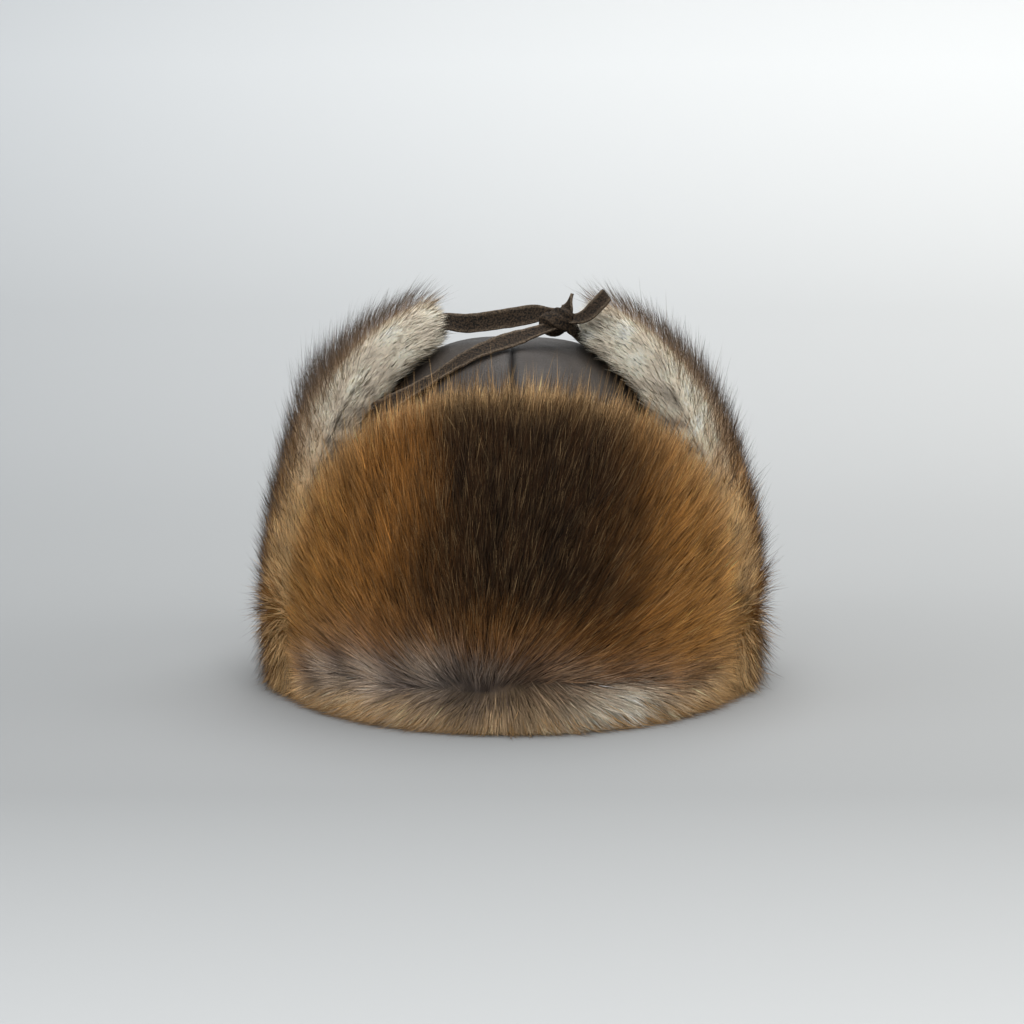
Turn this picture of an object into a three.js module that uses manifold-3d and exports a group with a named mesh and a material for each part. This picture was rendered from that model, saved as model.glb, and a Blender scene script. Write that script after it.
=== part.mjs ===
// Fur aviator hat with its visor, ear flaps and neck flap turned up and tied over the crown.
// Millimetres, +Z up. The hat stands on its rim at Z 0, centred on the Z axis, and its front faces -Y.
// The crown is a leather shell in two halves. Each flap is a leather backing with a thick fur pad on
// the outside, whose hair grows in rows of overlapping locks. Flat ties from the ear flaps' tips meet
// in a knot over the crown.
import * as THREE from "three";
import Module from "manifold-3d";
import { mergeVertices } from "three/addons/utils/BufferGeometryUtils.js";

const wasm = await Module();
wasm.setup();

// Crown: outer sizes at the rim, the wall, and how square the dome's profile is (2 is an ellipse)
const crownHalfWidth = 86;
const crownHalfDepth = 106;
const crownHeight = 171;
const crownWall = 2;
const crownSquareness = 3;
const crownRimLift = 5;
const crownSeamGap = 0.3;

// Flaps: the leather backing, the clearance between sewn pieces, and the depth of each fur pad
const leatherThickness = 1.5;
const clearance = 0.4;
const visorFurDepth = 29;
const earFurDepth = 34;
const earTipFurDepth = 27;
const neckFurDepth = 29;

// Visor and neck flap: how high they stand, how far they lean in, and the gap to the ear flaps
const visorHeight = 154;
const neckHeight = 122;
const outlineSquareness = 3.25;
const leanHeight = 205;
const leanSquareness = 3;
const flapGap = 0.6;

// Ear flaps: where the front and back edges leave the rim, how wide the tip is and how far forward it
// lies, and the gap that the two tips leave between them over the crown
const earFrontAtRim = 45;
const earBackAtRim = 48;
const earTipHalfWidth = 38;
const earTipForward = 8;
const earTipGap = 60;
const earBridging = 0.7;

// Backings: how far the leather's edge lies inside the fur's edge, and above the ground
const leatherInset = 9;
const leatherLift = 4;

// Fur locks: how far a tip stands off the pad, how deep the groove between two locks is, and how far
// the tips pass the pad's upper edge. On the visor the hair parts near the rim and falls below it.
const lockRise = 4;
const lockGroove = 2;
const lockOverhang = 5;
const partingHeight = 20;
const partingGroove = 4;
const visorLocks = 15;
const visorLockRows = 6;
const earLocks = 9;
const earLockRows = 7;
const neckLocks = 13;
const neckLockRows = 4;

// Ties: a flat ribbon, the place and size of the knot that gathers them, and the two loose tails
const tieWidth = 10;
const tieThickness = 1.4;
const knotAcross = 22;
const knotForward = 26;
const knotLift = 14;
const knotHalfLength = 8;
const knotHalfHeight = 5.5;
const pointedTailLength = 14;
const squareTailLength = 29;

const crownLeather = { color: 0x3a3634, roughness: 0.62, metalness: 0 };
const flapLeather = { color: 0x34302d, roughness: 0.7, metalness: 0 };
const fur = { color: 0x5e3d1c, roughness: 0.85, metalness: 0 };
const tieCloth = { color: 0x241c16, roughness: 0.85, metalness: 0 };

const radians = THREE.MathUtils.degToRad;
const hat = new THREE.Group();

function addPiece(name, geometry, look) {
  const mesh = new THREE.Mesh(geometry, new THREE.MeshStandardMaterial(look));
  mesh.name = name;
  hat.add(mesh);
}

// Turns the faces of a closed indexed geometry outwards.
function facingOut(positions, index) {
  const corner = (k) => new THREE.Vector3().fromArray(positions, 3 * k);
  let sixVolumes = 0;
  for (let k = 0; k < index.length; k += 3) {
    const across = corner(index[k + 1]).cross(corner(index[k + 2]));
    sixVolumes += corner(index[k]).dot(across);
  }
  if (sixVolumes < 0) index.reverse();
  const geometry = new THREE.BufferGeometry();
  geometry.setAttribute("position", new THREE.Float32BufferAttribute(positions, 3));
  geometry.setIndex(index);
  geometry.computeVertexNormals();
  return geometry;
}

// A closed solid through rings that all hold the same number of points. The levels of the first and
// the last ring say how high each point lies from point 0, so that strips close the two ends.
function loft(rings, levels) {
  const size = rings[0].length;
  const positions = rings.flat().flatMap((p) => p.toArray());
  const index = [];
  for (let ring = 0; ring + 1 < rings.length; ring++) {
    for (let k = 0; k < size; k++) {
      const here = ring * size + k;
      const beside = ring * size + ((k + 1) % size);
      index.push(here, beside, beside + size, here, beside + size, here + size);
    }
  }
  levels.forEach((level, end) => {
    const first = end * (rings.length - 1) * size;
    let up = 0;
    let down = size - 1;
    while (up + 1 < down) {
      const climbs = level[up + 1] < level[down - 1];
      const face = climbs ? [up, up + 1, down] : [up, down - 1, down];
      if (climbs) up++;
      else down--;
      index.push(...(end ? face : face.reverse()).map((k) => first + k));
    }
  });
  return facingOut(positions, index);
}

function toSolid(geometry) {
  const bare = geometry.clone();
  bare.deleteAttribute("normal");
  bare.deleteAttribute("uv");
  const merged = mergeVertices(bare, 1e-4);
  return new wasm.Manifold(
    new wasm.Mesh({
      numProp: 3,
      vertProperties: merged.attributes.position.array,
      triVerts: new Uint32Array(merged.index.array),
    }),
  );
}

function toGeometry(solid) {
  const mesh = solid.getMesh();
  const geometry = new THREE.BufferGeometry();
  geometry.setAttribute("position", new THREE.BufferAttribute(mesh.vertProperties, 3));
  geometry.setIndex(new THREE.BufferAttribute(mesh.triVerts, 1));
  geometry.computeVertexNormals();
  return geometry;
}

// How much of its rim size a dome keeps at a height, and the slope of that share.
function domeShare(z, height, squareness) {
  return (1 - (z / height) ** squareness) ** (1 / squareness);
}

// Crown

// One dome of the crown, through rings from its rim to just short of its top.
function crownDome(inset, rimZ) {
  const height = crownHeight - inset;
  const around = 40;
  const levels = 11;
  const rings = [];
  for (let level = 0; level < levels; level++) {
    const turn = (level / levels) * (Math.PI / 2);
    const rise = Math.sin(turn) ** (2 / crownSquareness);
    const z = rimZ + (height - rimZ) * rise;
    const share = domeShare(z, height, crownSquareness);
    const ring = [];
    for (let k = 0; k < around; k++) {
      const angle = (k / around) * 2 * Math.PI;
      const x = (crownHalfWidth - inset) * share * Math.sin(angle);
      const y = (crownHalfDepth - inset) * share * Math.cos(angle);
      ring.push(new THREE.Vector3(x, y, z));
    }
    rings.push(ring);
  }
  const tip = rings.at(-1).map((p) => new THREE.Vector3(p.x * 0.4, p.y * 0.4, height * 0.999));
  rings.push(tip);
  const order = [rings[0], tip].map((ring) => ring.map((p) => -p.y));
  return loft(rings, order);
}

function makeCrown() {
  const outside = toSolid(crownDome(0, crownRimLift));
  const inside = toSolid(crownDome(crownWall, crownRimLift - crownWall));
  const shell = outside.subtract(inside);
  const block = new THREE.BoxGeometry(4 * crownHalfWidth, 4 * crownHalfDepth, 4 * crownHeight);
  for (const [name, side] of [
    ["crown_left", -1],
    ["crown_right", 1],
  ]) {
    const shift = side * (2 * crownHalfWidth + crownSeamGap / 2);
    const half = shell.intersect(toSolid(block).translate([shift, 0, 0]));
    addPiece(name, toGeometry(half), crownLeather);
  }
}

// Surfaces that the flaps follow. Each takes a share across the flap from -1 to 1, a distance up the
// flap from the rim and a depth outwards from the fur's inner face.

// Room between the crown and a fur pad for the leather: the ear flaps' curves need a little more.
const backingRoom = leatherThickness + 2 * clearance;
const earBackingRoom = leatherThickness + 4.5 * clearance;

// The visor and the neck flap stand round the crown and lean in a little towards their tops.
function standingFlap(facing, halfAngle) {
  const halfWidth = crownHalfWidth + backingRoom;
  const halfDepth = crownHalfDepth + backingRoom;
  return (across, up, depth) => {
    const angle = across * halfAngle;
    const share = domeShare(Math.max(up, 0), leanHeight, leanSquareness);
    const base = new THREE.Vector3(
      halfWidth * share * Math.sin(angle),
      -facing * halfDepth * share * Math.cos(angle),
      up,
    );
    const steep = (Math.max(up, 0) / leanHeight) ** (leanSquareness - 1) / leanHeight;
    const normal = new THREE.Vector3(
      base.x / halfWidth ** 2,
      base.y / halfDepth ** 2,
      steep * share ** (2 - leanSquareness),
    ).normalize();
    return base.addScaledVector(normal, depth);
  };
}

// The crown's section at a distance from its middle, met along a ray that rises at an angle.
function crownSection(forward, rise) {
  const halfWidth = crownHalfWidth + earBackingRoom;
  const halfDepth = crownHalfDepth + earBackingRoom;
  const height = crownHeight + earBackingRoom;
  let near = 0;
  let far = 2 * height;
  for (let step = 0; step < 40; step++) {
    const reach = (near + far) / 2;
    const level = (reach * Math.cos(rise)) ** 2 / halfWidth ** 2 + (forward / halfDepth) ** 2;
    const up = Math.abs((reach * Math.sin(rise)) / height);
    if (level ** (crownSquareness / 2) + up ** crownSquareness < 1) near = reach;
    else far = reach;
  }
  return { x: near * Math.cos(rise), z: near * Math.sin(rise) };
}

// Rise angles at even steps of length up the crown's middle section, as far as an ear flap's tip.
const earSteps = [{ up: 0, rise: 0 }];
{
  let before = crownSection(0, 0);
  const stepAngle = radians(0.5);
  while (before.x > earTipGap / 2) {
    const rise = earSteps.at(-1).rise + stepAngle;
    const here = crownSection(0, rise);
    const up = earSteps.at(-1).up + Math.hypot(here.x - before.x, here.z - before.z);
    earSteps.push({ up, rise });
    before = here;
  }
}
const earLength = earSteps.at(-1).up;

function riseAt(up) {
  const last = earSteps.length - 1;
  const found = earSteps.findIndex((step) => step.up > up);
  const k = up < 0 ? 1 : found < 1 ? last : found;
  const share = (up - earSteps[k - 1].up) / (earSteps[k].up - earSteps[k - 1].up);
  return THREE.MathUtils.lerp(earSteps[k - 1].rise, earSteps[k].rise, share);
}

// An ear flap follows the crown's side, and bridges its rounded front and back higher up.
function earFlap(side) {
  const point = (forward, up) => {
    const rise = riseAt(up);
    const bridged = THREE.MathUtils.smoothstep(rise, radians(8), radians(62));
    const section = crownSection(forward * (1 - earBridging * bridged), rise);
    return new THREE.Vector3(side * section.x, -forward, section.z);
  };
  return (across, up, depth) => {
    const share = THREE.MathUtils.clamp(up / earLength, 0, 1);
    const front = THREE.MathUtils.lerp(earFrontAtRim, earTipHalfWidth + earTipForward, share);
    const back = THREE.MathUtils.lerp(earBackAtRim, earTipHalfWidth - earTipForward, share);
    const forward = (front - back) / 2 - (across * (front + back)) / 2;
    const reach = 0.5;
    const along = point(forward, up + reach).sub(point(forward, up - reach));
    const over = point(forward - reach, up).sub(point(forward + reach, up));
    const normal = along.cross(over).multiplyScalar(-side).normalize();
    return point(forward, up).addScaledVector(normal, depth);
  };
}

// Flap pads and backings

// Rounds a flap off near an edge: 0 on the edge and 1 a radius or more inside it.
function roundedEdge(inside, radius) {
  const short = 1 - THREE.MathUtils.clamp(inside / radius, 0, 1);
  return Math.sqrt(1 - short ** 2);
}

// Columns across a flap, closer together towards its two side edges.
function columnShares(count) {
  return Array.from({ length: count }, (_, k) => {
    const even = (2 * k) / (count - 1) - 1;
    return 0.6 * even + 0.4 * Math.sin((even * Math.PI) / 2);
  });
}

// One lock from its root to its tip, as shares of a row's length and of the tips' rise
const lockProfile = [
  { along: 0.08, rise: 0.1 },
  { along: 0.55, rise: 0.75 },
  { along: 1, rise: 1 },
];

// Points up the outer face of one column of locks: each lock rises from its root to its tip, and the
// next one starts under it. Neighbouring locks lie half a row apart, with a groove between them, and
// no two rise quite alike.
function lockPoints(column, rows, low, high) {
  const groove = column % 2 === 0;
  const shift = groove ? 0 : column % 4 === 1 ? -0.25 : 0.25;
  const row = (high - low) / (rows + 0.5);
  const points = [];
  for (let k = 0; k < rows; k++) {
    const uneven = 1 + 0.3 * Math.sin(2.3 * column + 1.9 * k);
    for (const { along, rise } of lockProfile) {
      const up = low + row * (k + 0.25 + shift + along);
      points.push([up, groove ? -lockGroove : lockRise * rise * uneven]);
    }
  }
  return points;
}

// The parting near the rim: the hair below it stands out over the nose, and the parting is a groove.
function partingPoints(column, nose, parting) {
  if (!parting) return [];
  const groove = column % 2 === 0;
  return [
    [(nose + parting) / 2, groove ? 0 : lockRise * 0.8],
    [parting, -partingGroove],
  ];
}

// A fur pad: a stadium section in every column, with locks up its outer face and a flat foot. Its
// depth passes from the rim's to the tip's over the upper part, and its locks lean outwards.
function furPad(flap, shape) {
  const { depth, tipDepth, columns, rows, steps, length, halfSpan, parting } = shape;
  const nose = depth / 2;
  const tipNose = tipDepth / 2;
  const foot = 3;
  const bend = 1 - Math.SQRT1_2;
  const shares = columnShares(2 * columns + 1);
  const sections = shares.map((across, column) => {
    const inside = (1 - Math.abs(across)) * halfSpan;
    const relief = roundedEdge(inside, nose);
    const round = Math.max(relief, 0.25);
    const groove = column % 2 === 0;
    const top = length(across) + (groove ? 0 : lockOverhang);
    const low = parting || 0.9 * nose;
    const face = (up) => {
      const share = THREE.MathUtils.smoothstep(up, 0.35 * top, 0.95 * top);
      return THREE.MathUtils.lerp(nose, tipNose, share);
    };
    const outer = [
      ...partingPoints(column, nose, parting),
      ...lockPoints(column, rows, low, top - 0.9 * tipNose),
    ];
    const inner = Array.from({ length: steps }, (_, k) => {
      const up = THREE.MathUtils.lerp(top - tipNose, nose, k / (steps - 1));
      return [up, face(up) * (1 - round)];
    });
    return [
      [0, nose - foot * round],
      [0, nose + foot * round],
      [bend * nose, nose * (1 + Math.SQRT1_2 * round)],
      ...outer.map(([up, height]) => [up, face(up) * (1 + round) + height * relief]),
      [top - bend * tipNose, tipNose * (1 + Math.SQRT1_2 * round)],
      [top, tipNose],
      [top - bend * tipNose, tipNose * (1 - Math.SQRT1_2 * round)],
      ...inner,
      [bend * nose, nose * (1 - Math.SQRT1_2 * round)],
    ];
  });
  return flapLoft(flap, shares, sections);
}

// A solid through sections across a flap, each a list of distances up it and depths.
function flapLoft(flap, shares, sections) {
  const rings = sections.map((section, k) => {
    return section.map(([up, depth]) => flap(shares[k], up, depth));
  });
  const levels = [sections[0], sections.at(-1)].map((section) => section.map(([up]) => up));
  return loft(rings, levels);
}

// A leather backing: an even sheet behind the pad, inside its outline.
function backing(flap, { backingColumns, backingGap, steps, length, halfSpan }) {
  const reach = 1 - leatherInset / halfSpan;
  const shares = columnShares(backingColumns).map((share) => share * reach);
  const sections = shares.map((across) => {
    const top = length(across) - leatherInset;
    const ups = Array.from({ length: steps }, (_, k) => {
      return THREE.MathUtils.lerp(leatherLift, top, k / (steps - 1));
    });
    const face = ups.map((up) => [up, -backingGap]);
    const rear = ups.map((up) => [up, -backingGap - leatherThickness]);
    return [...face, ...rear.reverse()];
  });
  return flapLoft(flap, shares, sections);
}

// A flap's height at a share across it: a rounded top that keeps some height at its side edges.
function outline(height, least) {
  return (across) => {
    const share = domeShare(Math.min(Math.abs(across), 1), 1, outlineSquareness);
    return height * Math.max(share, least);
  };
}

// The visor and the neck flap reach round the head until they meet the ear flaps' edges at the rim.
const halfAngleTo = (edge) => Math.acos((edge + flapGap) / (crownHalfDepth + backingRoom));
const visorHalfAngle = halfAngleTo(earFrontAtRim);
const neckHalfAngle = halfAngleTo(earBackAtRim);
const arcSpan = (halfAngle) => halfAngle * (crownHalfWidth + crownHalfDepth) * 0.58;

const visor = standingFlap(1, visorHalfAngle);
const visorShape = {
  depth: visorFurDepth,
  tipDepth: visorFurDepth,
  columns: visorLocks,
  rows: visorLockRows,
  steps: 5,
  backingColumns: 19,
  backingGap: clearance,
  length: outline(visorHeight - lockOverhang, 0.45),
  halfSpan: arcSpan(visorHalfAngle),
  parting: partingHeight,
};
const neck = standingFlap(-1, neckHalfAngle);
const neckShape = {
  depth: neckFurDepth,
  tipDepth: neckFurDepth,
  columns: neckLocks,
  rows: neckLockRows,
  steps: 4,
  backingColumns: 19,
  backingGap: clearance,
  length: outline(neckHeight - lockOverhang, 0.55),
  halfSpan: arcSpan(neckHalfAngle),
};
const earShape = {
  depth: earFurDepth,
  tipDepth: earTipFurDepth,
  columns: earLocks,
  rows: earLockRows,
  steps: 18,
  backingColumns: 11,
  backingGap: 2.5 * clearance,
  length: outline(earLength - lockOverhang, 0.8),
  halfSpan: (earFrontAtRim + earBackAtRim + 2 * earTipHalfWidth) / 4,
};

function makeFlaps() {
  addPiece("visor_fur", furPad(visor, visorShape), fur);
  addPiece("visor_backing", backing(visor, visorShape), flapLeather);
  addPiece("neck_fur", furPad(neck, neckShape), fur);
  addPiece("neck_backing", backing(neck, neckShape), flapLeather);
  for (const [name, side] of [
    ["left", -1],
    ["right", 1],
  ]) {
    addPiece(`ear_${name}_fur`, furPad(earFlap(side), earShape), fur);
    addPiece(`ear_${name}_backing`, backing(earFlap(side), earShape), flapLeather);
  }
}

// Ties

// How high the crown stands at a point.
function crownTop(x, y) {
  const share = Math.hypot(x / crownHalfWidth, y / crownHalfDepth);
  return crownHeight * domeShare(share, 1, crownSquareness);
}

const knotCentre = new THREE.Vector3(knotAcross, -knotForward, 0);
knotCentre.z = crownTop(knotAcross, knotForward) + knotLift;

// The knot: a twisted, fluted lump. Its room is what the ribbons are cut away by.
function knot(room) {
  const shape = new THREE.SphereGeometry(1, 14, 9);
  const spot = shape.attributes.position;
  for (let k = 0; k < spot.count; k++) {
    const point = new THREE.Vector3().fromBufferAttribute(spot, k);
    const turn = Math.atan2(point.z, point.x) + 1.4 * point.y;
    const flute = 1 + 0.1 * Math.cos(3 * turn) * (1 - point.y ** 2);
    spot.setXYZ(
      k,
      point.y * (knotHalfLength + room),
      -point.x * flute * (knotHalfHeight + room),
      point.z * flute * (knotHalfHeight + room),
    );
  }
  shape.rotateY(radians(-12));
  shape.rotateZ(radians(-14));
  return toSolid(shape).translate(knotCentre.toArray());
}

// A point inside the knot, given as shares of its half length and half height.
function inKnot({ x, y, z }) {
  const offset = new THREE.Vector3(x * knotHalfLength, y * knotHalfHeight, z * knotHalfHeight);
  return offset.add(knotCentre);
}

// The width of a ribbon that leans from level, in degrees.
function leaning(lean) {
  return new THREE.Vector3(0, Math.cos(radians(lean)), Math.sin(radians(lean)));
}

// A flat ribbon along a smooth line through its stations. Each has a point and the direction that
// its width takes there. The shape gives the share of its width at a share of its length.
function ribbon(stations, segments, shape) {
  const line = new THREE.CatmullRomCurve3(stations.map((station) => station.point));
  const rings = [];
  for (let k = 0; k <= segments; k++) {
    const share = k / segments;
    const spot = share * (stations.length - 1);
    const from = Math.min(Math.floor(spot), stations.length - 2);
    const wide = stations[from].wide.clone().lerp(stations[from + 1].wide, spot - from);
    const along = line.getTangent(share);
    const across = wide.addScaledVector(along, -wide.dot(along)).normalize();
    const thick = along.clone().cross(across);
    const centre = line.getPoint(share);
    const corner = (a, b) => {
      const point = centre.clone().addScaledVector(across, (a * shape(share) * tieWidth) / 2);
      return point.addScaledVector(thick, (b * tieThickness) / 2);
    };
    rings.push([corner(-1, -1), corner(-1, 1), corner(1, 1), corner(1, -1)]);
  }
  const level = [-1, -1, 1, 1];
  return toSolid(loft(rings, [level, level]));
}

// Ribbons are gathered where they enter the knot, and one tail is cut to a point.
const gathered = (share) => 1 - 0.4 * THREE.MathUtils.smoothstep(share, 0.75, 0.95);
const loosened = (share) => 0.6 + 0.4 * THREE.MathUtils.smoothstep(share, 0.2, 0.6);
const pointed = (share) => loosened(share) * Math.max(1 - share ** 3, 0.1);

// Stations of each tie on its way to the knot: the share of the way, how far it swings forward and
// how high it runs as shares of the knot's distances, and the lean of its width. The lower tie's
// height is over the crown, the others' over the straight line.
const upperTieRows = [
  { along: 0.24, forward: 0, lift: 0, lean: 58 },
  { along: 0.6, forward: 0, lift: 0.2, lean: 62 },
  { along: 0.85, forward: 0, lift: 0.2, lean: 62 },
];
const lowerTieRows = [
  { along: 0.28, forward: 0.4, lift: 0.2, lean: 25 },
  { along: 0.54, forward: 0.45, lift: 0.2, lean: 30 },
  { along: 0.67, forward: 0.32, lift: 0.26, lean: 35 },
  { along: 0.82, forward: 0.15, lift: 0.42, lean: 38 },
];
const rightTieRows = [{ along: 0.5, forward: 0, lift: 0.15, lean: 60 }];

// Where each ribbon enters the knot, as shares of the knot's half length and half height
const upperEntry = { x: 0, y: 0.35, z: 0.35 };
const lowerEntry = { x: 0, y: -0.4, z: -0.5 };
const rightEntry = { x: 0.3, y: 0.4, z: -0.4 };
const pointedEntry = { x: 0.2, y: 0.35, z: 0.3 };
const squareEntry = { x: 0.4, y: -0.3, z: 0 };

// A tie sewn to the edge of an ear flap's leather: it lies under the fur's edge, then runs free.
function sewnTie(sewn, rows, entry, baseHeight) {
  const from = sewn.at(-1).point;
  const to = inKnot(entry);
  const stations = rows.map(({ along, forward, lift, lean }) => {
    const point = from.clone().lerp(to, along);
    point.y -= forward * knotForward;
    point.z = baseHeight(point) + lift * knotLift;
    return { point, wide: leaning(lean) };
  });
  const end = { point: to, wide: leaning(rows.at(-1).lean) };
  return ribbon([...sewn, ...stations, end], 16, gathered);
}

const sewnDepth = -earShape.backingGap - tieThickness / 2;
const leatherEdge = leatherInset / earShape.halfSpan;

// A tie from a flap's tip. One that curls comes up round the end of the fur before it runs free.
function tipTie(side, rows, entry, curls) {
  const top = earShape.length(0);
  const beyond = top + lockOverhang + 2 * clearance + tieThickness / 2;
  const places = [
    [top - leatherInset + clearance, sewnDepth],
    [top, 0],
    [beyond, 0.3 * earTipFurDepth],
  ];
  const sewn = places.slice(0, curls ? 3 : 2).map(([up, depth], k) => ({
    point: earFlap(side)(0, up, depth),
    wide: leaning(k * 20),
  }));
  return sewnTie(sewn, rows, entry, (point) => point.z);
}

// The lower tie leaves the left flap's front edge and climbs over the front of the crown.
function lowerTie() {
  const up = 0.72 * earLength;
  const flap = earFlap(-1);
  const sewn = [1 - leatherEdge + clearance / earShape.halfSpan, 1].map((across) => ({
    point: flap(-across, up, sewnDepth),
    wide: flap(-across, up + 1, sewnDepth).sub(flap(-across, up, sewnDepth)),
  }));
  return sewnTie(sewn, lowerTieRows, lowerEntry, (point) => crownTop(point.x, point.y));
}

// Stations of the tails from where they enter the knot, as shares of the tail's length
const pointedTailRows = [
  { x: 0, y: 0, z: 0, lean: 60 },
  { x: 0.25, y: -0.05, z: 0.2, lean: 60 },
  { x: 0.42, y: -0.05, z: 0.75, lean: 30 },
];
const squareTailRows = [
  { x: 0, y: 0, z: 0, lean: 50 },
  { x: 0.3, y: -0.15, z: -0.08, lean: 50 },
  { x: 0.5, y: -0.28, z: 0.08, lean: 50 },
  { x: 0.72, y: -0.3, z: 0.38, lean: 45 },
];

function tail(rows, length, entry, shape) {
  const stations = rows.map((row) => ({
    point: new THREE.Vector3(row.x, row.y, row.z).multiplyScalar(length).add(inKnot(entry)),
    wide: leaning(row.lean),
  }));
  return ribbon(stations, 7, shape);
}

function makeTies() {
  const room = knot(clearance);
  const ties = [
    ["tie_left", tipTie(-1, upperTieRows, upperEntry, true)],
    ["tie_lower", lowerTie()],
    ["tie_right", tipTie(1, rightTieRows, rightEntry, false)],
    ["tail_pointed", tail(pointedTailRows, pointedTailLength, pointedEntry, pointed)],
    ["tail_square", tail(squareTailRows, squareTailLength, squareEntry, loosened)],
  ];
  for (const [name, tie] of ties) {
    addPiece(name, toGeometry(tie.subtract(room)), tieCloth);
  }
  addPiece("knot", toGeometry(knot(0)), tieCloth);
}

makeCrown();
makeFlaps();
makeTies();

export default hat;
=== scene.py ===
"""The looks of the fur aviator hat: its fur hair by hair, its leather crown and its ribbons.

Lengths are worked out in millimetres, as the frame's sizes are, and turned into metres when a mesh is made.
"""

import math
from types import SimpleNamespace

import bpy
import numpy as np
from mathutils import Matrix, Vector


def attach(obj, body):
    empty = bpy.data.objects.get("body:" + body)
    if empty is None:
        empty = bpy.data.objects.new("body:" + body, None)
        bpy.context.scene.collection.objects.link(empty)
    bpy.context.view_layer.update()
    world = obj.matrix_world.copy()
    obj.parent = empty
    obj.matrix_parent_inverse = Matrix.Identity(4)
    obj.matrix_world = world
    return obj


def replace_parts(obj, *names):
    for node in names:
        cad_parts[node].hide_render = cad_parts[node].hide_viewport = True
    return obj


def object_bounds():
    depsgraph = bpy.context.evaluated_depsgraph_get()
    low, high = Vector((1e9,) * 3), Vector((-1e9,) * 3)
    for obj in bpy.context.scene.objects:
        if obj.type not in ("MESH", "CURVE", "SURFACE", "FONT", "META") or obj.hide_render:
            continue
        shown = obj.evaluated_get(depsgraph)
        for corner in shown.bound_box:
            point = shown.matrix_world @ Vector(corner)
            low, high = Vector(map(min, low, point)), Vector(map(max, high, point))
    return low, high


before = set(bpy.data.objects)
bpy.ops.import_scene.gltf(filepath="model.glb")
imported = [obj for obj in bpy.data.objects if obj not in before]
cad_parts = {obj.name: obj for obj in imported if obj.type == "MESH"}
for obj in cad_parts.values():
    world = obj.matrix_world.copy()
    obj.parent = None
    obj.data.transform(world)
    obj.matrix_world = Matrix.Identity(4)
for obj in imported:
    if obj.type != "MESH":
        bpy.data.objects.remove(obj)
cad_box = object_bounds()

# Millimetres in a metre
MM = 1000

# Sizes of the frame's crown, in millimetres; a squareness of 2 would be an ellipse
CROWN_HALF_WIDTH = 86
CROWN_HALF_DEPTH = 106
CROWN_HEIGHT = 171
CROWN_SQUARENESS = 3
CROWN_WALL = 2
CROWN_RIM_LIFT = 5
CROWN_INNER_LIFT = 4.5

# Flaps: how they lean in, their room outside the crown, the gap between them, and their leather
LEAN_HEIGHT = 205
LEAN_SQUARENESS = 3
OUTLINE_SQUARENESS = 3.25
FLAP_ROOM = 2.3
EAR_ROOM = 3.3
FLAP_GAP = 0.6
LEATHER_INSET = 9
LEATHER_LIFT = 4
LEATHER_THICKNESS = 1.5

# Ear flaps: their edges at the rim, their tips, and how far they bridge the crown's curve
EAR_FRONT = 45
EAR_BACK = 48
EAR_TIP_HALF_WIDTH = 38
EAR_TIP_FORWARD = 8
EAR_TIP_GAP = 60
EAR_TIP_INSET = 5
EAR_BRIDGING = 0.7


# Small helpers


def smooth(x, low, high):
    t = np.clip((x - low) / (high - low), 0, 1)
    return t * t * (3 - 2 * t)


def unit(v):
    return v / np.maximum(np.linalg.norm(v, axis=-1, keepdims=True), 1e-9)


def dot(a, b):
    return np.sum(a * b, axis=-1, keepdims=True)


def colour(red, green, blue):
    """A display colour of 0 to 255 as linear light."""
    c = np.array([red, green, blue]) / 255
    return np.where(c <= 0.04045, c / 12.92, ((c + 0.055) / 1.055) ** 2.4)


def blend(a, b, share):
    share = np.asarray(share)[..., None]
    return a * (1 - share) + b * share


def bump(x, centre, width):
    return np.exp(-(((x - centre) / width) ** 2))


def wave_noise(points, scale, seed, layers=5):
    """A smooth random value, about -1 to 1, that varies over the given distance."""
    dice = np.random.default_rng(seed)
    total = 0
    for _ in range(layers):
        direction = unit(dice.normal(size=3)) * 2 * math.pi / scale * dice.uniform(0.6, 1.6)
        total = total + np.sin(points @ direction + dice.uniform(0, 2 * math.pi))
    return total / math.sqrt(layers)


# Surfaces that the flaps follow: across -1 to 1, up and depth in millimetres


def standing_flap(facing, half_angle):
    half_width, half_depth = CROWN_HALF_WIDTH + FLAP_ROOM, CROWN_HALF_DEPTH + FLAP_ROOM

    def point(across, up, depth):
        angle = across * half_angle
        rise = np.clip(up, 0, LEAN_HEIGHT * 0.99) / LEAN_HEIGHT
        share = (1 - rise**LEAN_SQUARENESS) ** (1 / LEAN_SQUARENESS)
        x, y = half_width * share * np.sin(angle), -facing * half_depth * share * np.cos(angle)
        steep = rise ** (LEAN_SQUARENESS - 1) / LEAN_HEIGHT / share
        normal = np.stack([x / half_width**2, y / half_depth**2, steep], axis=-1)
        return np.stack([x, y, up], axis=-1) + unit(normal) * depth[..., None]

    return point


# Steps of the search for the crown's section
SECTION_HALVINGS = 34


def crown_section(forward, rise):
    """Where a ray that rises at an angle meets the crown's section at a distance forward."""
    half_width, half_depth = CROWN_HALF_WIDTH + EAR_ROOM, CROWN_HALF_DEPTH + EAR_ROOM
    height = CROWN_HEIGHT + EAR_ROOM
    near = np.zeros(np.broadcast(forward, rise).shape)
    far = near + 2 * height
    for _ in range(SECTION_HALVINGS):
        reach = (near + far) / 2
        level = (reach * np.cos(rise) / half_width) ** 2 + (forward / half_depth) ** 2
        tall = np.abs(reach * np.sin(rise) / height)
        inside = level ** (CROWN_SQUARENESS / 2) + tall**CROWN_SQUARENESS < 1
        near, far = np.where(inside, reach, near), np.where(inside, far, reach)
    return near * np.cos(rise), near * np.sin(rise)


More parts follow.
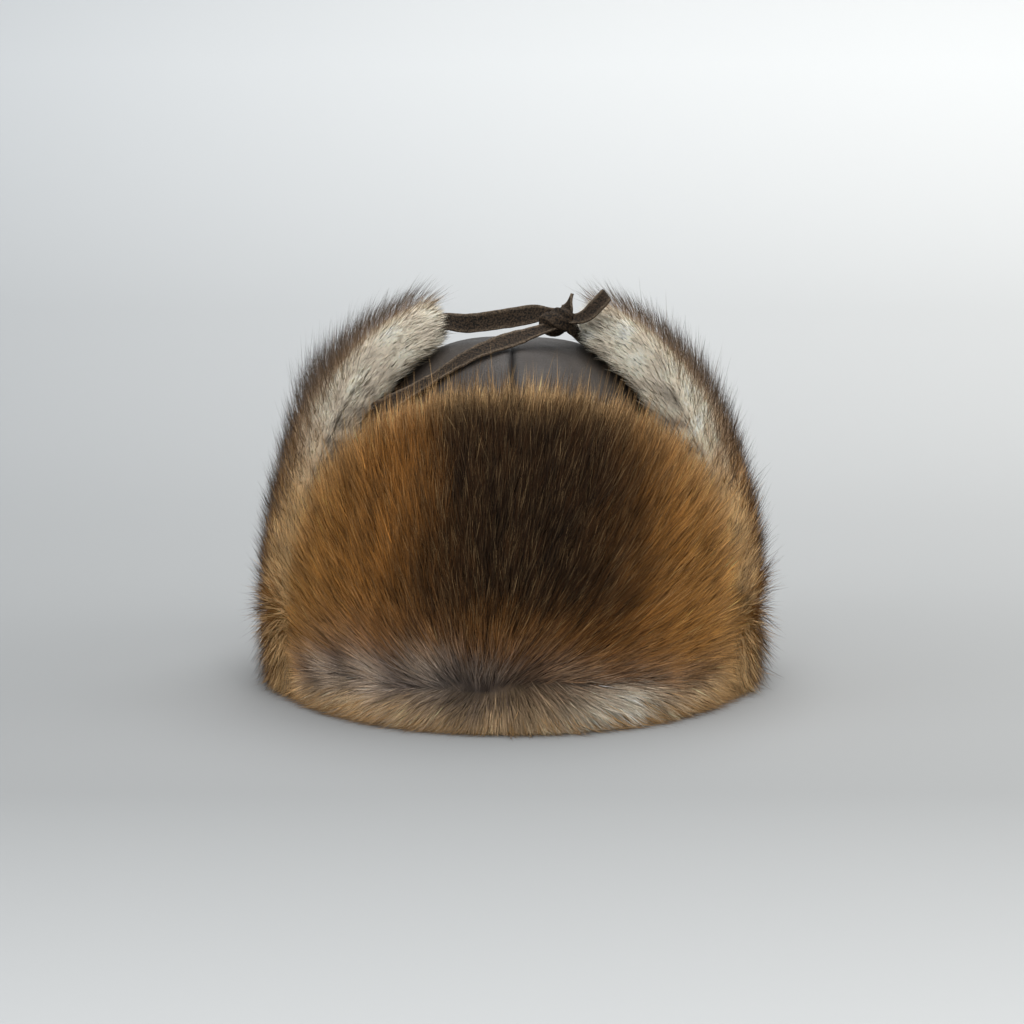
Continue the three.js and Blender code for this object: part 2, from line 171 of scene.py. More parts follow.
def ear_steps():
    rises = np.radians(np.arange(0, 85, 0.5))
    x, z = crown_section(np.zeros_like(rises), rises)
    ups = np.concatenate([[0], np.cumsum(np.hypot(np.diff(x), np.diff(z)))])
    last = int(np.argmax(x < EAR_TIP_GAP / 2)) + 1
    return ups[:last], rises[:last]


EAR_UPS, EAR_RISES = ear_steps()
EAR_LENGTH = EAR_UPS[-1]


def rise_at(up):
    inside = np.interp(up, EAR_UPS, EAR_RISES)
    first = EAR_RISES[1] / EAR_UPS[1]
    last = (EAR_RISES[-1] - EAR_RISES[-2]) / (EAR_UPS[-1] - EAR_UPS[-2])
    return inside + np.minimum(up, 0) * first + np.maximum(up - EAR_LENGTH, 0) * last


def ear_flap(side):
    def surface(forward, up):
        rise = rise_at(up)
        bridged = smooth(rise, math.radians(8), math.radians(62))
        x, z = crown_section(forward * (1 - EAR_BRIDGING * bridged), rise)
        return np.stack([side * x, -forward, z], axis=-1)

    def point(across, up, depth):
        share = np.clip(up / EAR_LENGTH, 0, 1)
        front = EAR_FRONT + (EAR_TIP_HALF_WIDTH + EAR_TIP_FORWARD - EAR_FRONT) * share
        back = EAR_BACK + (EAR_TIP_HALF_WIDTH - EAR_TIP_FORWARD - EAR_BACK) * share
        forward = (front - back) / 2 - across * (front + back) / 2
        along = surface(forward, up + 0.5) - surface(forward, up - 0.5)
        over = surface(forward - 0.5, up) - surface(forward + 0.5, up)
        normal = unit(np.cross(along, over)) * -side
        return surface(forward, up) + normal * depth[..., None]

    return point


def outline(height, least, power=OUTLINE_SQUARENESS):
    """A flap's length in every column: its greatest, and its least as a share of that."""

    def length(across):
        share = (1 - np.minimum(np.abs(across), 1) ** power) ** (1 / power)
        return height * np.maximum(share, least)

    return length


def half_angle_to(edge):
    return math.acos((edge + FLAP_GAP) / (CROWN_HALF_DEPTH + FLAP_ROOM))


VISOR_ANGLE = half_angle_to(EAR_FRONT)
NECK_ANGLE = half_angle_to(EAR_BACK)
EAR_SPAN = (EAR_FRONT + EAR_BACK + 2 * EAR_TIP_HALF_WIDTH) / 4


def standing_spec(facing, half_angle, length):
    half_span = half_angle * (CROWN_HALF_WIDTH + CROWN_HALF_DEPTH) * 0.58
    flap = standing_flap(facing, half_angle)
    return SimpleNamespace(flap=flap, depth=29, tip_depth=29, length=length, half_span=half_span)


def ear_spec(side):
    length = outline(EAR_LENGTH - EAR_TIP_INSET, 0.8)
    return SimpleNamespace(flap=ear_flap(side), depth=34, tip_depth=21, length=length, half_span=EAR_SPAN)


# Each flap's surface, its pad's depth at the rim and at the tip, its length in every column, and half the
# width of its outer face
FLAPS = {
    "visor": standing_spec(1, VISOR_ANGLE, outline(143, 0.45, 2.4)),
    "neck": standing_spec(-1, NECK_ANGLE, outline(117, 0.55)),
    "ear_left": ear_spec(-1),
    "ear_right": ear_spec(1),
}


# Meshes


def add_object(name, data):
    thing = bpy.data.objects.new(name, data)
    bpy.context.scene.collection.objects.link(thing)
    return thing


def add_piece(name, mesh, material):
    """An object that rides with the hat, with the given material."""
    mesh.materials.append(material)
    piece = add_object(name, mesh)
    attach(piece, "root")
    return piece


def shape_mesh(name, points, faces):
    """A smooth mesh of quads through points in millimetres."""
    mesh = bpy.data.meshes.new(name)
    mesh.from_pydata((points.reshape(-1, 3) / MM).tolist(), [], np.asarray(faces).tolist())
    mesh.validate()
    mesh.update()
    mesh.shade_smooth()
    return mesh


def add_tint(mesh, name, rgb):
    """A colour attribute with a colour for every point of the mesh."""
    layer = mesh.color_attributes.new(name, "FLOAT_COLOR", "POINT")
    rgba = np.concatenate([rgb, np.ones(rgb.shape[:-1] + (1,))], axis=-1)
    layer.data.foreach_set("color", rgba.astype(np.float32).ravel())


def grid_faces(rows, columns, wrap=False):
    r = np.arange(rows - 1)[:, None]
    c = np.arange(columns if wrap else columns - 1)[None, :]
    here = r * columns + c
    beside = r * columns + (c + 1) % columns
    return np.stack([here, beside, beside + columns, here + columns], axis=-1).reshape(-1, 4)


def shell_faces(columns, rows):
    """The faces of a front grid and a rear grid of points, joined round their edges."""
    count = columns * rows
    face = grid_faces(columns, rows)
    rim = []
    for k in range(columns - 1):
        a, b = k * rows, (k + 1) * rows
        rim.append([a, b, b + count, a + count])
        rim.append([b + rows - 1, a + rows - 1, a + rows - 1 + count, b + rows - 1 + count])
    for k in range(rows - 1):
        a, c = k, (columns - 1) * rows + k
        rim.append([a + 1, a, a + count, a + 1 + count])
        rim.append([c, c + 1, c + 1 + count, c + count])
    return np.concatenate([face, face[:, ::-1] + count, np.array(rim)])


def cap_faces(first, size):
    """Quads that close a ring of points, which starts at the first point."""
    last = first + size - 1
    return [[first + k, first + k + 1, last - 1 - k, last - k] for k in range(size // 2 - 1)]


# Hair: many small blades, each pointed at its root and its tip and widest at its middle

# The corners of a blade's two triangles: 0 is its root, 1 and 2 are its sides and 3 is its tip
BLADE = [0, 2, 1, 1, 2, 3]

# The least height of a blade's points above the floor, in millimetres
FLOOR_CLEARANCE = 0.3


def blade_map(mesh, count):
    """A place for every blade in a square map, so that its colours can be baked from root to tip. The
    cells are about three times as tall as they are wide."""
    columns = math.ceil(math.sqrt(count * 3))
    rows = math.ceil(count / columns)
    cell = np.arange(count)
    x, y = (cell % columns + 0.5) / columns, (cell // columns) / rows
    half, tall = 0.42 / columns, 1 / rows
    foot, waist, top = y + 0.08 * tall, y + 0.5 * tall, y + 0.92 * tall
    uv = np.stack([x, foot, x - half, waist, x + half, waist, x, top], axis=-1).reshape(count, 4, 2)
    layer = mesh.uv_layers.new(name="OFBake", do_init=False)
    layer.uv.foreach_set("vector", uv[:, BLADE].astype(np.float32).ravel())


def hair_object(name, roots, middles, tips, roll, shade, widths, colours):
    """One mesh of blades of two triangles, with a colour along each blade and soft normals."""
    count = len(roots)
    across = unit(np.cross(tips - roots, roll)) * widths[:, None] / 2
    points = np.stack([roots, middles - across, middles + across, tips], axis=1)
    points[..., 2] = np.maximum(points[..., 2], FLOOR_CLEARANCE)
    corners = np.arange(count)[:, None] * 4 + np.array(BLADE)
    mesh = bpy.data.meshes.new(name)
    mesh.vertices.add(count * 4)
    mesh.vertices.foreach_set("co", (points / MM).astype(np.float32).ravel())
    mesh.loops.add(corners.size)
    mesh.loops.foreach_set("vertex_index", corners.astype(np.int32).ravel())
    mesh.polygons.add(count * 2)
    mesh.polygons.foreach_set("loop_start", np.arange(count * 2, dtype=np.int32) * 3)
    mesh.update(calc_edges=True)
    mesh.shade_smooth()
    blade_map(mesh, count)
    root, middle, tip = colours
    add_tint(mesh, "hair_colour", np.stack([root, middle, middle, tip], axis=1))
    mesh.normals_split_custom_set_from_vertices(np.repeat(shade, 4, axis=0).tolist())
    return add_piece(name, mesh, FUR_HAIR)


# Fur skin: the pad under the hair, a smaller stadium in every column, on which the hair grows

# The skin's depth as a share of the solid's on its outer and its inner face, and that of its foot
SKIN = 0.66
INNER = 0.95
FOOT = 0.93


def skin_grid(spec, columns):
    """Points round the pad in every column, with where each lies on the flap. Stretches run from the
    foot out, up the face, over the top, down the inner face and back to the foot."""
    t = np.linspace(-1, 1, columns)
    across = (0.6 * t + 0.4 * np.sin(t * math.pi / 2))[:, None]
    nose, tip = spec.depth / 2, spec.tip_depth / 2
    inside = (1 - np.abs(across)) * spec.half_span
    round_off = np.sqrt(1 - (1 - np.clip(inside / nose, 0.004, 1)) ** 2)
    top = spec.length(across)
    low, high = nose, top - tip

    def half(up):
        return nose + (tip - nose) * smooth(up, 0.35 * top, 0.95 * top)

    def side(angle):
        return np.where(np.cos(angle) > 0, SKIN, INNER) * round_off * np.cos(angle)

    ups, depths = [], []

    def station(up, depth):
        ups.append(up + 0 * across)
        depths.append(depth + 0 * across)

    def bend(centre, radius, squash, start, end, count):
        for angle in np.radians(np.linspace(start, end, count)[:-1]):
            station(centre + squash * radius * np.sin(angle), radius * (1 + side(angle)))

    def face(start, end, count, outwards):
        for share in np.linspace(start, end, count)[:-1]:
            up = low + (high - low) * share
            station(up, half(up) * (1 + outwards * round_off))

    bend(low, nose, FOOT, -90, 0, 8)
    face(0, 1, 24, SKIN)
    bend(high, tip, SKIN, 0, 180, 14)
    face(1, 0, 18, -INNER)
    bend(low, nose, FOOT, 180, 270, 8)
    up, depth = np.concatenate(ups, axis=1), np.concatenate(depths, axis=1)
    across = across + 0 * up
    points = spec.flap(across, up, depth)
    middle = spec.flap(across, np.clip(up, low, high), nose + 0 * up)
    along = np.roll(points, -1, axis=1) - np.roll(points, 1, axis=1)
    over = np.gradient(points, axis=0)
    normal = unit(np.cross(along, over))
    normal = normal * np.sign(np.sum(dot(normal, points - middle)))
    ends = np.abs(across[..., None]) > 0.999
    normal = np.where(ends, unit(points - middle + over * np.sign(across[..., None]) * 3), normal)
    return SimpleNamespace(spec=spec, across=across, up=up, depth=depth, points=points, normal=normal)


def skin_object(name, grid, colours):
    points = grid.points
    columns, stations = points.shape[:2]
    faces = grid_faces(columns, stations, wrap=True).tolist()
    faces += cap_faces(0, stations) + cap_faces((columns - 1) * stations, stations)
    mesh = shape_mesh(name, points, faces)
    add_tint(mesh, "hair_colour", blend(colours[0], colours[1], 0.6))
    skin = add_piece(name, mesh, FUR_SKIN)
    return skin


def grid_roots(grid):
    """The skin's own points, described as roots are."""
    count, stations = grid.up.shape

    def flat(values):
        return values.reshape(count * stations, -1).squeeze()

    across = flat(grid.across)
    turn = np.broadcast_to(np.arange(stations) / stations, (count, stations)).ravel()
    return SimpleNamespace(
        across=across, up=flat(grid.up), points=flat(grid.points), normal=flat(grid.normal),
        turn=turn, arc=across * grid.spec.half_span,
    )


def sample_skin(grid, count, density, dice):
    """Roots spread over the skin by area and density."""
    points = grid.points
    beside = np.roll(points, -1, axis=1)
    a, b, c, d = points[:-1], points[1:], beside[1:], beside[:-1]
    halves = np.cross(b - a, d - a), np.cross(b - c, d - c)
    area = np.linalg.norm(halves[0], axis=-1) + np.linalg.norm(halves[1], axis=-1)
    weight = (area * density[:-1]).ravel()
    pick = dice.choice(weight.size, count, p=weight / weight.sum())
    i, j = np.divmod(pick, points.shape[1])
    s, t = dice.random((2, count))
    after = (j + 1) % points.shape[1]

    def mix(values):
        extra = (slice(None),) + (None,) * (values.ndim - 2)
        ss, tt = s[extra], t[extra]
        low = values[i, j] * (1 - ss) + values[i + 1, j] * ss
        high = values[i, after] * (1 - ss) + values[i + 1, after] * ss
        return low * (1 - tt) + high * tt

    across, up, depth = mix(grid.across), mix(grid.up), mix(grid.depth)
    flap, step = grid.spec.flap, 0.01
    return SimpleNamespace(
        across=across, up=up, points=mix(points), normal=unit(mix(grid.normal)),
        turn=(j + t) / points.shape[1], arc=across * grid.spec.half_span,
        upwards=unit(flap(across, up + 1, depth) - flap(across, up - 1, depth)),
        sideways=unit(flap(across + step, up, depth) - flap(across - step, up, depth)),
    )


def clumps_of(points, size, seed):
    """A clump number for every root, from uneven cells of about the given size."""
    shift = np.stack([wave_noise(points, size * 5, seed + k) for k in range(3)], axis=-1) * size * 0.6
    cell = np.floor((points + shift) / size).astype(int)
    _, number = np.unique(cell, axis=0, return_inverse=True)
    number = number.ravel()
    total = np.bincount(number)
    centre = np.stack([np.bincount(number, points[:, k]) / total for k in range(3)], axis=-1)
    return number, centre


# How far hair may pass the box of the frame's solids, in millimetres
PAST_BOX = 11
BOX_LOW = np.array(cad_box[0]) * MM - PAST_BOX
BOX_HIGH = np.array(cad_box[1]) * MM + PAST_BOX


def inside_box(start, tip):
    """The share of each hair that keeps its tip within reach of the solids' box."""
    step = tip - start
    room = np.where(step > 0, BOX_HIGH - start, BOX_LOW - start)
    room[..., 2] = np.where(step[..., 2] > 0, room[..., 2], -1e3)
    share = room / np.where(np.abs(step) < 1e-6, 1e-6, step)
    return np.clip(share.min(axis=-1, keepdims=True), 0.3, 1)


# The way to the light, towards which pale hair is shaded
LIGHT_WAY = unit(np.array([0.1, -0.65, 0.75]))

# How much single hairs vary in rise and length and clumps in length, the share of a hair's rise that
# is left at its tip, and the least length in millimetres
UNEVEN_RISE = 0.09
UNEVEN_LENGTH = 0.14
UNEVEN_CLUMP = 0.08
TIP_RISE = 0.3
SHORTEST = 3

# The darkest and the palest that a hair's colour gets
COLOUR_RANGE = (0.001, 0.95)


def grow(
    name, roots, flow, lift, length, width, colours, dice,
    pull=0.4, clump=4.5, curl=0.05, stray=0.08, soft=0.45, tone=0.15, lit=0.0, wave=0.10,
):
    """Hair from the roots: it starts at the lift angle, bends towards the flow, and draws together in
    clumps. colours holds the root, middle and tip colours of every hair. soft turns the shading of
    single hairs, tone tells clumps apart, lit turns the shading towards the light, and wave turns the
    flow of each clump."""
    start, normal = roots.points, roots.normal
    count = len(start)

    def each(value):
        return np.broadcast_to(value, count)[:, None]

    number, centre = clumps_of(start, clump, 11 + len(name))
    wander = dice.normal(size=(len(centre), 3))[number]
    flow = unit(flow + wander * each(wave) + dice.normal(size=(count, 3)) * each(stray))
    inward = np.minimum(dot(flow, normal), 0)
    along = unit(flow - inward * normal)
    rise = each(lift) + dice.normal(size=(count, 1)) * UNEVEN_RISE
    first = unit(along * np.cos(rise) + normal * np.sin(rise))
    last = unit(along * np.cos(rise * TIP_RISE) + normal * np.sin(rise * TIP_RISE))
    reach = np.broadcast_to(length, count) * (1 + UNEVEN_LENGTH * dice.normal(size=count))
    reach = np.maximum(reach * (1 + UNEVEN_CLUMP * wander[:, 0]), SHORTEST)[:, None]
    gather = centre[number] - start
    gather = (gather - dot(gather, first) * first) * each(pull)
    kink = dice.normal(size=(count, 3)) * reach * curl
    middle = start + reach * 0.5 * unit(first * 1.6 + last * 0.4) + gather * 0.3 + kink * 0.3
    tip = start + reach * unit(first + last) + gather + kink
    kept = inside_box(start, tip)
    middle, tip = start + (middle - start) * kept, start + (tip - start) * kept
    roll = unit(normal + dice.normal(size=(count, 3)) * 0.6)
    shade = unit(normal + roll * each(soft) + LIGHT_WAY * each(lit))
    tones = np.exp(tone * dice.normal(size=len(centre))[number])[:, None]
    colours = [np.clip(c * tones, *COLOUR_RANGE) for c in colours]
    widths = np.broadcast_to(width, count) * dice.uniform(0.7, 1.3, count)
    return hair_object(name, start, middle, tip, roll, shade, widths, colours)


# Colours of the fur

SOOT = colour(29, 19, 10)
DARK = colour(60, 37, 16)
BROWN = colour(104, 66, 30)
CHESTNUT = colour(144, 95, 42)
GOLD = colour(186, 134, 68)
TAN = colour(202, 160, 108)
STRAW = colour(228, 194, 142)
CREAM = colour(242, 230, 210)
SLATE = colour(101, 95, 92)
ASH = colour(172, 160, 148)
UMBER = colour(104, 80, 52)


def varied(colours, dice, noise, spread):
    """Each hair a little lighter or darker than its neighbours, with slow changes between areas."""
    result = []
    for tone in colours:
        factor = np.exp(dice.normal(size=len(tone)) * spread + 0.12 * noise)
        result.append(np.clip(tone * factor[:, None], *COLOUR_RANGE))
    return result


def some(dice, count, share):
    """1 for a random share of the hairs, and 0 for the others."""
    return (dice.random(count) < share).astype(float)


# Materials


class Nodes:
    """Short ways to add and join shader nodes. An input is given a value or another node's output."""

    def __init__(self, name):
        self.material = bpy.data.materials.new(name)
        self.material.use_nodes = True
        self.tree = self.material.node_tree
        self.shader = self.tree.nodes["Principled BSDF"]

    def feed(self, node, inputs):
        for key, value in inputs.items():
            if isinstance(value, bpy.types.NodeSocket):
                self.tree.links.new(value, node.inputs[key])
            else:
                node.inputs[key].default_value = value

    def add(self, kind, inputs, **settings):
        node = self.tree.nodes.new("ShaderNode" + kind)
        for key, value in settings.items():
            setattr(node, key, value)
        self.feed(node, inputs)
        return node

    def place(self):
        return self.add("TexCoord", {}).outputs["Object"]

    def attribute(self, name):
        return self.add("VertexColor", {}, layer_name=name).outputs["Color"]

    def noise(self, scale, detail, stretch=None):
        place = self.place()
        if stretch:
            place = self.add("Mapping", {"Scale": stretch, "Vector": place}).outputs["Vector"]
        return self.add("TexNoise", {"Scale": scale, "Detail": detail, "Vector": place}).outputs["Fac"]

    def ramp(self, value, stops):
        node = self.add("ValToRGB", {"Fac": value})
        elements = node.color_ramp.elements
        while len(elements) < len(stops):
            elements.new(0.5)
        for element, (position, rgb) in zip(elements, stops):
            element.position = position
            element.color = (*rgb, 1)
        return node.outputs["Color"]

    def maths(self, operation, *values):
        return self.add("Math", dict(enumerate(values)), operation=operation).outputs["Value"]

    def share(self, value, low, high):
        """How far a value is from low to high, from 0 to 1."""
        return self.add("MapRange", {"Value": value, "From Min": low, "From Max": high}).outputs["Result"]

    def mix(self, share, first, second, kind="MIX"):
        node = self.add("Mix", {}, data_type="RGBA", blend_type=kind)
        self.feed(node, {0: share, 6: first, 7: second})
        return node.outputs[2]

    def multiply(self, first, second):
        return self.mix(1.0, first, second, "MULTIPLY")

    def bump(self, height, distance, strength=1.0):
        inputs = {"Distance": distance, "Strength": strength, "Height": height}
        return self.add("Bump", inputs).outputs["Normal"]

    def finish(self, tone, roughness, specular, **others):
        settings = {"Base Color": tone, "Roughness": roughness, "Specular IOR Level": specular}
        self.feed(self.shader, {**settings, **others})
        return self.material


def grey(level):
    return (level, level, level)


def hair_material():
    m = Nodes("fur_hair")
    mottle = m.ramp(m.noise(900, 2), [(0.3, grey(0.82)), (0.7, (1.12, 1.1, 1.08))])
    return m.finish(m.multiply(m.attribute("hair_colour"), mottle), 0.6, 0.13)


def skin_material():
    m = Nodes("fur_underwool")
    wool = m.noise(420, 6, stretch=(1, 1, 0.25))
    wool = m.ramp(wool, [(0.25, grey(0.6)), (0.5, grey(0.8)), (0.75, grey(1.0))])
    bump = m.bump(m.noise(700, 4, stretch=(1, 1, 0.3)), 0.001)
    return m.finish(m.multiply(m.attribute("hair_colour"), wool), 0.95, 0.1, Normal=bump)


def leather_material(name, dark, light, seam=False):
    """Leather with a fine grain; with a seam, it is dark along the middle of the hat."""
    m = Nodes(name)
    tone = m.ramp(m.noise(26, 5), [(0.3, dark), (0.7, light)])
    if seam:
        across = m.add("SeparateXYZ", {"Vector": m.place()}).outputs["X"]
        beside = m.maths("ABSOLUTE", across)
        tone = m.multiply(tone, m.ramp(beside, [(0.0004, grey(0.2)), (0.0016, grey(1))]))
    fine = m.ramp(m.noise(420, 3), [(0.35, grey(0.86)), (0.65, grey(1.08))])
    rough = m.ramp(m.noise(60, 4), [(0.3, grey(0.5)), (0.7, grey(0.66))])
    cells = m.add("TexVoronoi", {"Scale": 650, "Vector": m.place()}, feature="DISTANCE_TO_EDGE")
    grain = m.maths("ADD", cells.outputs["Distance"], m.noise(120, 5))
    return m.finish(m.multiply(tone, fine), rough, 0.4, Normal=m.bump(grain, 0.0006, 0.6))


def ribbon_material():
    """Dark brown ribbon of a fine weave; its cut edges are lighter, by the colour attribute edge, as worn
    threads and a painted highlight.
    """
    m = Nodes("ribbon_weave")
    weave = m.noise(1100, 2)
    body = m.ramp(weave, [(0.38, tuple(colour(13, 10, 7))), (0.62, tuple(colour(63, 50, 37)))])
    rim = m.ramp(weave, [(0.3, tuple(colour(48, 40, 33))), (0.7, tuple(colour(122, 106, 88)))])
    tone = m.mix(m.attribute("edge"), body, rim)
    return m.finish(tone, 0.82, 0.2, Normal=m.bump(weave, 0.0004, 0.8))


FUR_HAIR = hair_material()
FUR_SKIN = skin_material()
CROWN_LEATHER = leather_material(
    "crown_leather", (0.027, 0.021, 0.017), (0.043, 0.034, 0.028), seam=True
)
FLAP_LEATHER = leather_material("flap_leather", (0.022, 0.020, 0.019), (0.040, 0.036, 0.034))
RIBBON = ribbon_material()


# Crown: two smooth halves of leather whose edges turn in at the seam


# How uneven the leather is, how deep and wide the seam turns in, and how high, how far from the seam and
# how wide the leather swells beside it, in millimetres
UNEVEN_LEATHER = 0.45
SEAM_DEPTH = 1.0
SEAM_WIDTH = 1.3
SWELL = 0.35
SWELL_FROM_SEAM = 4
SWELL_WIDTH = 3.5


def dome(inset, rim_lift, columns, levels):
    """Half of a smooth dome at an inset from the crown's face, from its lifted rim to its apex."""
    angle = np.linspace(0, math.pi, columns)[:, None]
    turn = np.linspace(0, math.pi / 2, levels)
    height = CROWN_HEIGHT - inset
    z = rim_lift + (height - rim_lift) * np.sin(turn) ** (2 / CROWN_SQUARENESS)
    share = (1 - np.clip(z / height, 0, 1) ** CROWN_SQUARENESS) ** (1 / CROWN_SQUARENESS)
    share[-1] = 0
    x = (CROWN_HALF_WIDTH - inset) * share * np.sin(angle)
    y = -(CROWN_HALF_DEPTH - inset) * share * np.cos(angle)
    return np.stack([x, y, z + 0 * x], axis=-1)


def crown_half(name, side):
    size = 64, 44
    outer, inner = dome(0, CROWN_RIM_LIFT, *size), dome(CROWN_WALL, CROWN_INNER_LIFT, *size)
    uneven = wave_noise(outer.reshape(-1, 3) * [side, 1, 1], 55, 5).reshape(*size, 1)
    normal = unit(outer / np.array([CROWN_HALF_WIDTH, CROWN_HALF_DEPTH, CROWN_HEIGHT]) ** 2)
    seam = bump(outer[..., :1], 0, SEAM_WIDTH)
    swell = bump(outer[..., :1], SWELL_FROM_SEAM, SWELL_WIDTH)
    outer = outer + normal * (UNEVEN_LEATHER * uneven - SEAM_DEPTH * seam + SWELL * swell)
    points = np.concatenate([outer, inner])
    points[..., 0] = np.maximum(points[..., 0], 0) * side
    faces = shell_faces(*size)
    if side > 0:
        faces = faces[:, ::-1]
    return add_piece(name, shape_mesh(name, points, faces), CROWN_LEATHER)


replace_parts(crown_half("crown_left_leather", -1), "crown_left")
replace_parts(crown_half("crown_right_leather", 1), "crown_right")


# Leather backings of the flaps


def backing(part, gap):
    """The leather on a flap's inner face, at a gap from the fur."""
    spec = FLAPS[part]
    columns, rows = 28, 28
    reach = 1 - LEATHER_INSET / spec.half_span
    across = (np.linspace(-1, 1, columns) * reach)[:, None] + np.zeros((1, rows))
    top = spec.length(across) - LEATHER_INSET
    up = LEATHER_LIFT + (top - LEATHER_LIFT) * np.linspace(0, 1, rows)
    face = spec.flap(across, up, -gap + 0 * up)
    rear = spec.flap(across, up, -gap - LEATHER_THICKNESS + 0 * up)
    mesh = shape_mesh(f"{part}_leather", np.concatenate([face, rear]), shell_faces(columns, rows))
    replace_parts(add_piece(f"{part}_leather", mesh, FLAP_LEATHER), f"{part}_backing")


for part, gap in (("visor", 0.4), ("neck", 0.4), ("ear_left", 1.0), ("ear_right", 1.0)):
    backing(part, gap)


# Fur

# How many hairs grow on each piece
VISOR_HAIRS = 90000
EAR_HAIRS = 84000
GUARD_HAIRS = 9000
NECK_HAIRS = 55000
RIM_HAIRS = {"visor": 4200, "ear_left": 1400, "ear_right": 1400}

# How far round the pad, from its foot up, it counts as the pad's outside
OUTSIDE = 0.62


def turned(roots, angle):
    """The way along the skin at an angle from upwards towards the side."""
    return roots.upwards * np.cos(angle)[:, None] + roots.sideways * np.sin(angle)[:, None]


def plain(tones, count):
    """The same root, middle and tip colour for every hair."""
    return [np.tile(tone, (count, 1)) for tone in tones]


def hidden_inside(grid, keep):
    """Less hair where the pad lies against the leather, except near its edges."""
    turn = np.arange(grid.points.shape[1]) / grid.points.shape[1]
    inner = smooth(turn, 0.60, 0.68) * (1 - smooth(turn, 0.93, 0.99))
    edge = smooth(np.abs(grid.across), 0.55, 0.95)
    return 1 - inner[None, :] * (1 - keep) * (1 - 0.8 * edge)


# Where the whorl lies on the visor, in millimetres
WHORL_ACROSS = -14
WHORL_UP = 21


def whorl_line(x):
    """The height of the parting, from which the visor's hair runs upwards and downwards."""
    return WHORL_UP + 2.2 * np.sin(x / 17 + 0.6) + 1.2 * np.sin(x / 6.5) - 6 * smooth(-x, 58, 90)


def visor_flow(roots, dice):
    """Hair runs out from a whorl low on the visor: sideways along the parting, and more upright with
    height, sooner on the left than on the right."""
    x = roots.arc - WHORL_ACROSS
    line = whorl_line(roots.points[:, 0]) + dice.normal(size=len(x)) * 1.6
    over = roots.up - line
    steep = np.where(x < 0, 4.0, 2.3) * np.maximum(over, 0) + 9
    rising = turned(roots, np.arctan2(x, steep))
    down = np.maximum(-over, 0) / 9 + 0.25
    across = np.clip(x / 34, -1.6, 1.6) - 0.25
    falling = unit(roots.sideways * across[:, None] - roots.upwards * down[:, None])
    below = (over < 0) & (roots.turn < OUTSIDE)
    return np.where(below[:, None], falling, rising), below, over


# Painted shadow in spots beside the parting: across and above it and half width in millimetres, and
# strength
VISOR_SHADOW_SPOTS = [
    (-80, -3, 10, 0.75),
    (-68, 0, 9, 0.75),
    (-64, -13, 8, 0.6),
    (62, -3, 9, 0.5),
    (76, -1, 8, 0.5),
    (56, -10, 7, 0.4),
]


